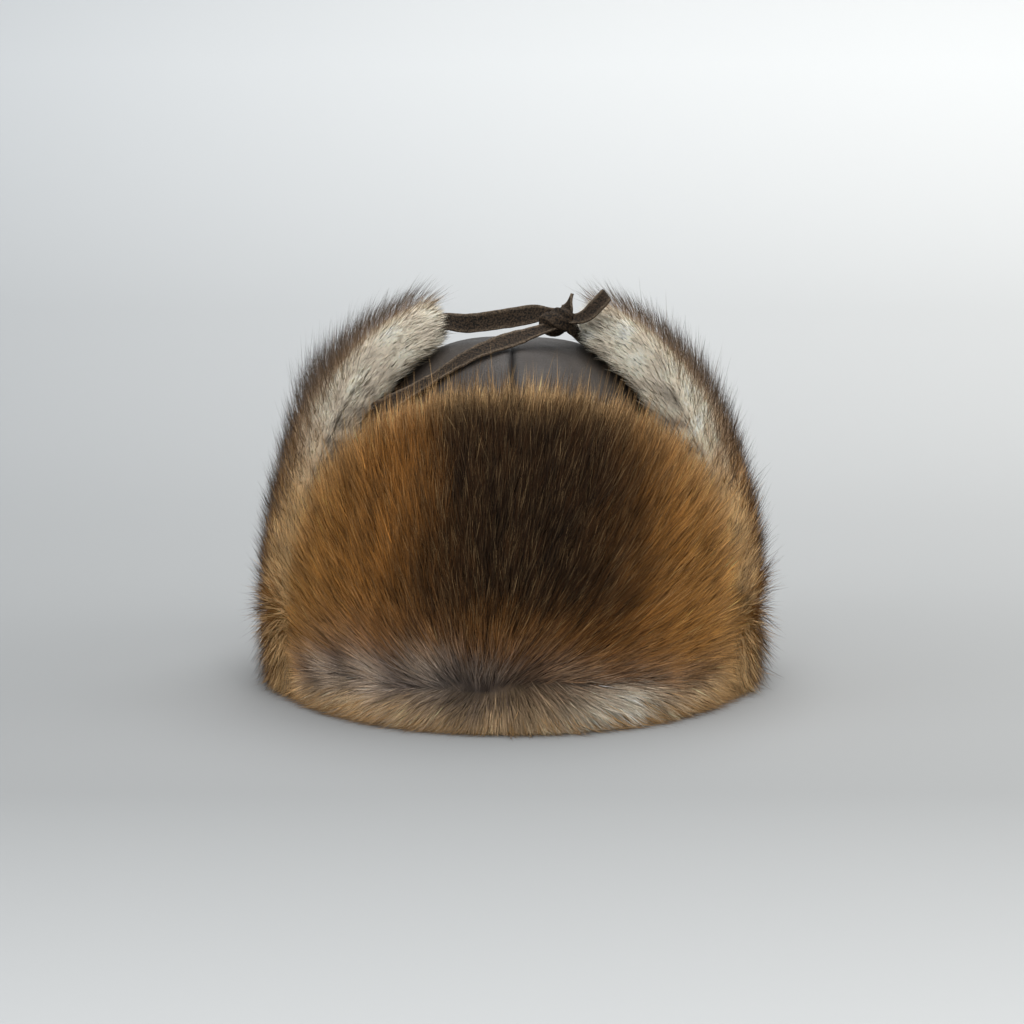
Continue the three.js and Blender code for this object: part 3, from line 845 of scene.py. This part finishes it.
def visor_colours(roots, dice, over):
    points = roots.points
    x, z = points[:, 0], points[:, 2]
    count = len(x)
    mottle = wave_noise(points, 16, 31)
    streak = wave_noise(np.stack([roots.arc, roots.up * 0.10, 0 * x], axis=-1), 8, 41)
    aim = np.arctan2(roots.arc - WHORL_ACROSS, 3 * np.maximum(over, 0) + 9)
    strand = wave_noise(np.stack([aim * 60, over * 0.06, 0 * x], axis=-1), 2.4, 45, layers=9)
    shift = 6 * wave_noise(points, 60, 51)
    leaning = 0.4 * np.clip(100 - z, 0, 60)
    dark = smooth(x + shift, -58, -18) * (1 - smooth(x + shift + leaning, 34, 80)) * smooth(z, 16, 54)
    side = smooth(np.abs(x + 6), 40, 104)
    middle = blend(CHESTNUT * 0.9, GOLD, side * 0.4)
    middle = blend(middle, TAN, smooth(x, 76, 108) * 0.7)
    middle = blend(middle, TAN, smooth(-x, 86, 108) * 0.35)
    tip = blend(CHESTNUT * 1.2, GOLD * 1.15, side)
    middle, tip = blend(middle, SOOT, dark * 0.97), blend(tip, DARK * 0.8, dark * 0.95)
    past_top = roots.up - FLAPS["visor"].length(roots.across)
    top_edge = smooth(past_top, -24, -4)
    pale = smooth(past_top, -46, -12) * side
    middle, tip = blend(middle, TAN * 0.85, pale * 0.7), blend(tip, TAN, pale * 0.6)
    bright = some(dice, count, 0.2 + 0.6 * top_edge + 0.12 * side)
    tip = blend(tip, STRAW, bright * (0.3 + 0.6 * top_edge))
    middle = blend(middle, TAN, top_edge * 0.95)
    tip = blend(tip, UMBER, some(dice, count, 0.35) * top_edge * 0.8)
    dark_hair = some(dice, count, 0.25)
    middle = blend(middle, SOOT, dark_hair * 0.5)
    tip = blend(tip, DARK, dark_hair * 0.5)
    patch = 0.5 + 0.5 * np.tanh(2.0 * wave_noise(points * [0.5, 0.5, 1.5], 20, 61))
    reach = np.where(x < -20, 5.0, 3.0)
    corner = smooth(np.abs(x + 2), 80, 98)
    parted = np.exp(-np.maximum(np.abs(over - 1) - 3, 0) / reach) * (0.35 + 0.65 * smooth(-x, -20, 30))
    parted = parted * (1 - 0.85 * corner)
    middle = blend(middle, blend(SLATE * 1.1, ASH * 1.15, patch), parted * 0.85)
    tip = blend(tip, blend(SLATE * 1.1, blend(TAN, ASH, 0.5), patch), parted * 0.75)
    low = smooth(-over, -1, 5)
    fawn = blend(blend(TAN, STRAW, 0.5), ASH, 0.35 * smooth(roots.up, 2, 12))
    fawn = blend(fawn, ASH * 1.25, patch * 0.5 * smooth(-x, 10, 50)) * 1.18
    fawn = blend(fawn, blend(GOLD, STRAW, 0.5), corner * 0.9)
    middle, tip = blend(middle, fawn, low * 0.9), blend(tip, fawn, low * 0.95)
    white = bump(x, 40, 20) * smooth(-over, -2, 4)
    middle, tip = blend(middle, CREAM, white * 0.9), blend(tip, CREAM, white * 0.9)
    # Painted shadow: the hair's middles and tips are darkened below the whorl, beside it and in spots
    # beside the parting
    shadow_beside_whorl = 0.7 * bump(x, 12, 17) * bump(over, -4, 6)
    shadow = np.maximum(bump(x, -12, 22) * np.exp(-np.abs(over) / 4.5), shadow_beside_whorl)
    for along, above, size, strength in VISOR_SHADOW_SPOTS:
        shadow = np.maximum(shadow, strength * bump(x, along, size) * bump(over, above, 3))
    middle = blend(middle, SOOT * 1.6, shadow * 0.85)
    tip = blend(tip, blend(SOOT, SLATE, 0.4), shadow * 0.75)
    root = blend(blend(SOOT, DARK, 0.5), SLATE, parted * 0.6)
    root = blend(root, middle * 0.7, low)
    noise = mottle * 0.5 + streak * 1.2 + strand * 1.3 * smooth(over, 0, 20)
    return varied((root, middle, tip), dice, noise, 0.3)


def build_visor():
    spec = FLAPS["visor"]
    grid = skin_grid(spec, 72)
    dice = np.random.default_rng(101)
    own = grid_roots(grid)
    over = own.up - whorl_line(own.points[:, 0])
    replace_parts(skin_object("visor_underwool", grid, visor_colours(own, dice, over)), "visor_fur")
    density = hidden_inside(grid, 0.1)
    for k in range(2):
        roots = sample_skin(grid, VISOR_HAIRS, density, dice)
        flow, below, over = visor_flow(roots, dice)
        outside = roots.turn < OUTSIDE
        near = bump(over, 0, 10) * outside
        lift = np.where(below, 0.45, 0.30) + 0.30 * near
        room = spec.length(roots.across) - roots.up
        top_edge = smooth(-room, -24, 0)
        long_hair = some(dice, len(room), 0.10) * smooth(-room, -40, 0)
        length = np.where(below, 15.0, np.clip(room + 9, 11, 22) - 6 * near)
        length = length * (1 + 0.7 * long_hair) * (1 - 0.22 * top_edge)
        low = smooth(-over, -2, 6) * outside
        edge = smooth(np.abs(roots.across), 0.82, 1) * np.sign(roots.across)
        flow = flow + roots.sideways * edge[:, None] * 0.8
        root, middle, tip = visor_colours(roots, dice, over)
        tip = blend(tip, UMBER * 0.7, long_hair * top_edge * 0.8)
        grow(
            f"visor_hair_{k + 1}", roots, flow, lift, length, 0.26 - 0.05 * top_edge,
            (root, middle, tip), dice, lit=0.85 * low,
        )


def ear_share(roots, side):
    """How far a point lies on the pale roll along the flap's front edge and on its inner face."""
    normal, z = roots.normal, roots.points[:, 2]
    turned = 0.4 * smooth(z, 95, 160)
    frontal = smooth(-normal[:, 1], -0.05 - turned, 0.55 - turned)
    inner = smooth(-side * normal[:, 0], 0.0, 0.6)
    return np.clip(frontal + inner * smooth(z, 90, 140), 0, 1)


def ear_colours(roots, dice, side):
    points, normal = roots.points, roots.normal
    z = points[:, 2]
    count = len(z)
    mottle = wave_noise(points, 15, 71)
    patch = 0.6 + 0.25 * np.tanh(wave_noise(points, 45, 81))
    outer = blend(blend(CHESTNUT, UMBER, 0.3), TAN, patch)
    outer = blend(outer, blend(STRAW, ASH, 0.5), smooth(z, 100, 170) * 0.5)
    outer = blend(outer, UMBER, some(dice, count, 0.3) * 0.5)
    outer_tip = blend(outer, SOOT, 0.6 * some(dice, count, 0.22))
    outer_tip = blend(outer_tip, TAN, some(dice, count, 0.35) * 0.7)
    roll = blend(blend(TAN, STRAW, 0.5), blend(TAN, STRAW, 0.6), smooth(z, 20, 95))
    # Painted light: the right flap's cream roll is made paler than the left's
    roll = blend(roll, CREAM * (1.06 if side > 0 else 1.0), smooth(z + 5 * mottle, 90, 140))
    # Painted shade where the flap meets the visor, in grey spots that darken the hair's middles and tips
    shaded_beside_visor = smooth(side * normal[:, 0], -0.1, -0.7)
    shaded_beside_visor = shaded_beside_visor + 0.7 * smooth(-normal[:, 1], 0.75, 0.98)
    spots = smooth(wave_noise(points, 12, 91), -0.4, 0.6) * bump(z, 112, 34)
    spots = spots * np.clip(shaded_beside_visor, 0, 1)
    share = ear_share(roots, side)
    middle = blend(blend(outer, roll, share), SLATE * 0.9, spots * 0.95)
    tip = blend(blend(outer_tip, roll * 1.05, share), SLATE * 0.9, spots * 0.8)
    root = blend(blend(SOOT, UMBER, 0.7), roll * 0.95, share)
    return varied((root, middle, tip), dice, mottle, 0.12)


def ear_flow(roots, dice, side):
    """Upwards over most of the flap, forwards round its front edge, and down near the rim."""
    forward = smooth(-roots.normal[:, 1], -0.2, 0.7)
    line = 38 + 4 * wave_noise(roots.points, 40, 131) + dice.normal(size=len(forward)) * 3
    over = roots.up - line
    rise = np.tanh(over / 22)
    flow = roots.upwards * rise[:, None] - roots.sideways * (0.35 * forward)[:, None]
    flow = flow + roots.sideways * (0.25 * smooth(roots.across, 0.3, 1))[:, None]
    return flow, bump(over, 0, 22)


def shoulder(roots, side):
    """Where an ear flap's fur stands out in a tuft, more on the wearer's right than on the left."""
    return bump(roots.points[:, 2], 137, 22) * (1.0 if side < 0 else 0.4)


def build_ear(side_name, side):
    grid = skin_grid(FLAPS[f"ear_{side_name}"], 64)
    dice = np.random.default_rng(201 + side)
    own = grid_roots(grid)
    skin = skin_object(f"ear_{side_name}_underwool", grid, ear_colours(own, dice, side))
    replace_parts(skin, f"ear_{side_name}_fur")
    front = smooth(-grid.normal[..., 1], 0.0, 0.6)
    density = hidden_inside(grid, 0.3) * (1 + 2.6 * front)
    roots = sample_skin(grid, EAR_HAIRS, density, dice)
    flow, near = ear_flow(roots, dice, side)
    z = roots.points[:, 2]
    cream = ear_share(roots, side) * smooth(z, 50, 120)
    end = smooth(roots.up, EAR_LENGTH - 22, EAR_LENGTH - 10)
    inward = smooth(-side * roots.normal[:, 0], 0.2, 0.8) * smooth(z, 90, 110) * (1 - end)
    tuft = (1 - cream) * shoulder(roots, side)
    lift = 0.34 + 0.25 * near - 0.1 * cream + 0.4 * inward + 0.35 * tuft
    length = 16 - 10.5 * cream + 2.5 * end + 6 * inward + 6 * tuft
    colours = ear_colours(roots, dice, side)
    facing = smooth(-roots.normal[:, 1], -0.1, 0.6)
    lit = 0.15 + 0.55 * np.maximum(cream, 0.9 * facing) + 0.5 * cream * end
    grow(
        f"ear_{side_name}_hair", roots, flow, lift, length, 0.24 + 0.08 * cream, colours, dice,
        clump=4.0, pull=0.35 - 0.33 * cream, stray=0.14, soft=0.35 - 0.27 * cream,
        tone=0.15 - 0.13 * cream, lit=lit, wave=0.10 - 0.085 * cream,
    )
    outside = smooth(side * grid.normal[..., 0] + 0.6 * grid.normal[..., 2], 0.1, 0.6)
    roots = sample_skin(grid, GUARD_HAIRS, outside * hidden_inside(grid, 0.0) + 1e-6, dice)
    flow, near = ear_flow(roots, dice, side)
    tones = blend(TAN, ASH, 0.4), blend(UMBER, SLATE, 0.35), blend(SOOT, SLATE, 0.2)
    grow(
        f"ear_{side_name}_guard_hair", roots, flow, 0.9 + 0.15 * near, 18.0 + 10 * shoulder(roots, side),
        0.16, plain(tones, GUARD_HAIRS), dice, pull=0.45, clump=3.0, stray=0.12, lit=0.1,
    )


def build_rim_hair():
    """Long thin hairs that fall outwards from the visor's lower edge and the sides' lower edges."""
    dice = np.random.default_rng(501)
    for part, count in RIM_HAIRS.items():
        grid = skin_grid(FLAPS[part], 40)
        stations = grid.up.shape[1]
        low = bump(grid.up, 5, 5) * (np.arange(stations) < 0.5 * stations)
        roots = sample_skin(grid, count, low + 1e-9, dice)
        out = np.clip(roots.arc / 60, -1, 1) if part == "visor" else 0 * roots.arc
        flow = roots.sideways * out[:, None] - roots.upwards * 0.55
        grow(
            f"{part}_rim_hair", roots, flow, 0.8, 21.0, 0.18, plain((STRAW, TAN, DARK), count), dice,
            pull=0.6, clump=3.5, stray=0.16, lit=0.5,
        )


def neck_colours(roots, dice):
    count = len(roots.arc)
    mottle = wave_noise(roots.points, 18, 101)
    tone = 0.5 + 0.5 * np.tanh(wave_noise(roots.points, 60, 111))
    middle = blend(blend(BROWN, CHESTNUT, tone), DARK, some(dice, count, 0.35) * 0.6)
    tip = blend(blend(CHESTNUT, GOLD, tone), STRAW, some(dice, count, 0.2) * 0.6)
    tip = blend(tip, SOOT, some(dice, count, 0.2) * 0.7)
    root = blend(SOOT, DARK, 0.5) + 0 * middle
    return varied((root, middle, tip), dice, mottle, 0.22)


def build_neck():
    grid = skin_grid(FLAPS["neck"], 64)
    dice = np.random.default_rng(301)
    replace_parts(skin_object("neck_underwool", grid, neck_colours(grid_roots(grid), dice)), "neck_fur")
    roots = sample_skin(grid, NECK_HAIRS, hidden_inside(grid, 0.25), dice)
    flow = turned(roots, np.arctan2(roots.arc, roots.up + 150))
    length = np.clip(128 - roots.points[:, 2], 13, 22)
    grow("neck_hair", roots, flow, 0.32, length, 0.30, neck_colours(roots, dice), dice)


build_visor()
build_ear("left", -1)
build_ear("right", 1)
build_neck()
build_rim_hair()


# Ribbons

RIBBON_WIDTH = 10
RIBBON_THICKNESS = 1.2
RIBBON_CURL = 0.5

# Places across a ribbon from -1 to 1; from the cut edge on, its sides are thinner and paler, as worn
# threads and a painted highlight
LANES = np.array([-1, -0.96, -0.6, -0.2, 0.2, 0.6, 0.96, 1])
CUT_EDGE = 0.96


def curve_through(points, count):
    """Points along a smooth curve through the stations, and the share of stations passed at each."""
    p = np.concatenate([[2 * points[0] - points[1]], points, [2 * points[-1] - points[-2]]])
    knots = np.concatenate([[0], np.cumsum(np.sqrt(np.linalg.norm(np.diff(p, axis=0), axis=1)))])
    passed = np.linspace(0, len(points) - 1, count)
    k = np.minimum(passed.astype(int), len(points) - 2)
    t0, t1, t2, t3 = [knots[k + step][:, None] for step in range(4)]
    t = t1 + (passed - k)[:, None] * (t2 - t1)

    def between(a, b, start, end):
        return (end - t) / (end - start) * a + (t - start) / (end - start) * b

    a, b = between(p[k], p[k + 1], t0, t1), between(p[k + 1], p[k + 2], t1, t2)
    c = between(p[k + 2], p[k + 3], t2, t3)
    return between(between(a, b, t0, t2), between(b, c, t1, t3), t1, t2), passed


def ribbon_piece(name, node, points, faces, edge):
    mesh = shape_mesh(name, points, faces)
    add_tint(mesh, "edge", np.repeat(edge[:, None], 3, axis=1))
    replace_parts(add_piece(name, mesh, RIBBON), node)


def ribbon(name, node, stations, shape, count=70):
    """A flat ribbon through stations of a point and the direction of its width. Its faces curve a
    little across, and its thin sides are the cut edges."""
    spots, wides = [np.array(values, float) for values in zip(*stations)]
    line, passed = curve_through(spots, count)
    wide = np.stack([np.interp(passed, np.arange(len(wides)), wides[:, k]) for k in range(3)], axis=-1)
    along = unit(np.gradient(line, axis=0))
    across = unit(wide - dot(wide, along) * along)
    up = np.cross(along, across)
    half = RIBBON_WIDTH / 2 * np.array([shape(share) for share in np.linspace(0, 1, count)])
    wobble = 0.25 * wave_noise(line, 9, len(name))
    points, edge = [], []
    for a, b in [(a, 1) for a in LANES] + [(a, -1) for a in LANES[::-1]]:
        thin = RIBBON_THICKNESS / 2 * (0.55 if abs(a) == 1 else 1)
        lift = b * thin + RIBBON_CURL * (a * a - 0.4) + wobble * a
        points.append(line + across * (a * half)[:, None] + up * lift[:, None])
        edge.append(1.0 if abs(a) >= CUT_EDGE else 0.0)
    size = len(edge)
    faces = grid_faces(count, size, wrap=True).tolist()
    faces += [quad[::-1] for quad in cap_faces(0, size)] + cap_faces((count - 1) * size, size)
    ribbon_piece(name, node, np.stack(points, axis=1), faces, np.tile(edge, count))


def crown_top(x, y):
    share = math.hypot(x / CROWN_HALF_WIDTH, y / CROWN_HALF_DEPTH)
    return CROWN_HEIGHT * (1 - share**CROWN_SQUARENESS) ** (1 / CROWN_SQUARENESS)


# The knot's size, its lift over the crown and its place forward of the crown's middle
KNOT_HALF_LENGTH = 8
KNOT_HALF_HEIGHT = 5.5
KNOT_LIFT = 14
KNOT_FORWARD = 26
KNOT = np.array([22.0, -26.0, crown_top(22, 26) + KNOT_LIFT])


def leaning(lean):
    return np.array([0, math.cos(math.radians(lean)), math.sin(math.radians(lean))])


def in_knot(x, y, z):
    return KNOT + np.array([x, y, z]) * [KNOT_HALF_LENGTH, KNOT_HALF_HEIGHT, KNOT_HALF_HEIGHT]


def on_flap(side, across, up, depth):
    return ear_flap(side)(np.array([across]), np.array([float(up)]), np.array([float(depth)]))[0]


def gathered(share):
    return 1 - 0.4 * float(smooth(share, 0.75, 0.95))


def loosened(share):
    return 0.6 + 0.4 * float(smooth(share, 0.2, 0.6))


def pointed(share):
    return loosened(share) * max(1 - share**3, 0.06)


# Ties: how deep and how far in from a flap's edge they are sewn, and how high up the lower tie starts
SEWN_DEPTH = -1.7
SEWN_IN = 8.6
LOWER_TIE_UP = 0.72 * EAR_LENGTH


def tip_tie(name, node, side, rows, entry, curls):
    top = EAR_LENGTH - EAR_TIP_INSET
    places = [(top - SEWN_IN, SEWN_DEPTH), (top - 1.5, 0.5), (top + 0.5, 8.0)][: 3 if curls else 2]
    stations = [(on_flap(side, 0, up, depth), leaning(k * 20)) for k, (up, depth) in enumerate(places)]
    start, end = stations[-1][0], in_knot(*entry)
    for along, forward, lift, lean in rows:
        point = start + (end - start) * along
        point = point + np.array([0, -forward * KNOT_FORWARD, lift * KNOT_LIFT])
        stations.append((point, leaning(lean)))
    stations.append((end, leaning(rows[-1][3])))
    ribbon(name, node, stations, gathered)


def lower_tie():
    stations = []
    for across in (-1 + SEWN_IN / EAR_SPAN, -1.0):
        point = on_flap(-1, across, LOWER_TIE_UP, SEWN_DEPTH)
        stations.append((point, on_flap(-1, across, LOWER_TIE_UP + 1, SEWN_DEPTH) - point))
    start, end = stations[-1][0], in_knot(0, -0.4, -0.5)
    rows = [(0.28, 0.4, 0.2, 25), (0.54, 0.45, 0.2, 30), (0.67, 0.32, 0.26, 35), (0.82, 0.15, 0.42, 38)]
    for along, forward, lift, lean in rows:
        point = start + (end - start) * along
        point[1] -= forward * KNOT_FORWARD
        point[2] = crown_top(point[0], point[1]) + lift * KNOT_LIFT
        stations.append((point, leaning(lean)))
    stations.append((end, leaning(38)))
    ribbon("ribbon_lower", "tie_lower", stations, gathered)


def tail(name, node, rows, length, entry, shape):
    start = in_knot(*entry)
    stations = [(start + np.array([x, y, z]) * length, leaning(lean)) for x, y, z, lean in rows]
    ribbon(name, node, stations, shape, count=36)


tip_tie(
    "ribbon_left", "tie_left", -1,
    [(0.24, 0, -0.08, 66), (0.6, 0, 0.0, 72), (0.85, 0, 0.08, 70)], (0, 0.35, 0.35), True,
)
tip_tie("ribbon_right", "tie_right", 1, [(0.5, 0, 0.15, 60)], (0.3, 0.4, -0.4), False)
lower_tie()
tail(
    "ribbon_tail_pointed", "tail_pointed",
    [(0, 0, 0, 60), (0.25, -0.05, 0.2, 60), (0.42, -0.05, 0.75, 30)], 14, (0.2, 0.35, 0.3), pointed,
)
tail(
    "ribbon_tail_square", "tail_square",
    [(0, 0, 0, 50), (0.28, -0.12, 0.02, 50), (0.48, -0.24, 0.16, 50), (0.72, -0.3, 0.42, 45)],
    29, (0.4, -0.3, 0), loosened,
)


def rotated(a, b, degrees):
    cosine, sine = math.cos(math.radians(degrees)), math.sin(math.radians(degrees))
    return a * cosine - b * sine, a * sine + b * cosine


def knot():
    """Wraps of ribbon drawn tight round each other."""
    turns, sides = 40, 28
    u = np.linspace(0, 1, turns)[:, None]
    angle = np.linspace(0, 2 * math.pi, sides, endpoint=False)[None, :]
    lengthwise = np.cos(u * math.pi)
    girth = np.sin(np.clip(u, 0.02, 0.98) * math.pi) ** 0.7
    twist = angle + 1.4 * lengthwise
    fold = 1 + 0.10 * np.cos(3 * twist) + 0.06 * np.cos(7 * twist + 1.0)
    y = -np.cos(angle) * girth * fold * KNOT_HALF_HEIGHT
    z = np.sin(angle) * girth * fold * KNOT_HALF_HEIGHT
    x = lengthwise * KNOT_HALF_LENGTH + 0 * y
    z, x = rotated(z, x, -12)
    x, y = rotated(x, y, -14)
    points = np.stack([x * 1.12, y * 1.1, z * 1.15 - 1.5], axis=-1) + KNOT
    # The crests of the folds are painted paler through the colour attribute edge: a painted highlight
    edge = np.clip((fold - 1.1) * 6, 0, 0.6).ravel()
    ribbon_piece("ribbon_knot", "knot", points, grid_faces(turns, sides, wrap=True), edge)


knot()


# Stage, light and camera


# The floor sheet, in millimetres: how far it runs forwards and to each side, where it starts to curve up
# behind the hat, the radius of the curve, and its height
SHEET_REACH = 9000
CURVE_START = 700
CURVE_RADIUS = 2200
SHEET_HEIGHT = 6000

# Painted light and shade on the sheet: its greys from in front of the hat, at 0, to behind it, at 1, with a
# darker band just behind the hat and paler further up, and the darker grey painted far aside
SHEET_SHADE_GREYS = [
    (0.0, 0.64), (0.07, 0.50), (0.12, 0.40), (0.18, 0.41), (0.38, 0.49), (0.66, 0.65), (0.85, 0.90),
]
SHEET_SHADE_ASIDE = (0.44, 0.45, 0.455, 1)

# Area lights: name, place and size in metres, power in watts, and tint
LIGHTS = [
    ("key", (0.0, -1.5, 2.0), 1.8, 18, (1, 1, 1)),
    ("top", (0.2, 0.4, 2.3), 2.0, 42, (1, 1, 1)),
    ("fill_left", (-2.0, -0.9, 0.9), 1.4, 14, (0.97, 0.98, 1)),
    ("fill_right", (2.0, -0.4, 1.0), 1.4, 12, (1, 0.99, 0.97)),
]
LIGHT_TARGET = Vector((0, 0, 0.1))
WORLD_COLOUR = (0.93, 0.95, 0.97, 1)
WORLD_STRENGTH = 0.52

# Camera: the point it looks at and its distance in metres, its elevation in degrees, and its lens
CAMERA_TARGET = Vector((0, 0, 0.0834))
CAMERA_DISTANCE = 1.22
CAMERA_ELEVATION = math.radians(8)
CAMERA_LENS = 85


def sheet_material():
    """Pale paper with painted light and shade: its grey changes from front to back, and it is painted
    darker on the left than on the right and darker far aside.
    """
    m = Nodes("floor_paper_painted_shade")
    place = m.add("SeparateXYZ", {"Vector": m.place()}).outputs
    ahead = m.share(place["Y"], -0.6, 2.4)
    tone = m.ramp(ahead, [(at, (v, v * 1.01, v * 1.015)) for at, v in SHEET_SHADE_GREYS])
    side = m.ramp(m.share(place["X"], -0.9, 0.7), [(0, (0.655, 0.675, 0.69)), (1, (1, 1, 0.985))])
    aside = m.share(m.maths("ABSOLUTE", place["X"]), 1.0, 2.2)
    return m.finish(m.mix(aside, m.multiply(tone, side), SHEET_SHADE_ASIDE), 0.85, 0.1)


def build_stage():
    """A pale sheet that runs forwards under the hat and curves up behind it."""
    turn = np.linspace(0, math.pi / 2, 48)
    curve = CURVE_START + CURVE_RADIUS * np.sin(turn)
    y = np.concatenate([[-SHEET_REACH], curve, [CURVE_START + CURVE_RADIUS]])
    z = np.concatenate([[0], CURVE_RADIUS * (1 - np.cos(turn)), [SHEET_HEIGHT]])
    points = np.array([[x, y[k], z[k]] for k in range(len(y)) for x in (-SHEET_REACH, SHEET_REACH)])
    mesh = shape_mesh("floor", points, grid_faces(len(y), 2))
    mesh.materials.append(sheet_material())
    add_object("floor", mesh)


def aim(thing, target):
    thing.rotation_euler = (target - thing.location).to_track_quat("-Z", "Y").to_euler()


build_stage()
for name, place, size, power, tint in LIGHTS:
    data = bpy.data.lights.new(name, "AREA")
    data.energy, data.size, data.color = power, size, tint
    light = add_object(name, data)
    light.location = place
    aim(light, LIGHT_TARGET)

world = bpy.data.worlds.new("studio")
bpy.context.scene.world = world
world.use_nodes = True
background = world.node_tree.nodes["Background"]
background.inputs["Color"].default_value = WORLD_COLOUR
background.inputs["Strength"].default_value = WORLD_STRENGTH
bpy.context.scene.view_settings.view_transform = "Standard"

camera_data = bpy.data.cameras.new("camera")
camera_data.lens, camera_data.sensor_width = CAMERA_LENS, 36
camera = add_object("camera", camera_data)
back_and_up = Vector((0, -math.cos(CAMERA_ELEVATION), math.sin(CAMERA_ELEVATION)))
camera.location = CAMERA_TARGET + CAMERA_DISTANCE * back_and_up
aim(camera, CAMERA_TARGET)
bpy.context.scene.camera = camera
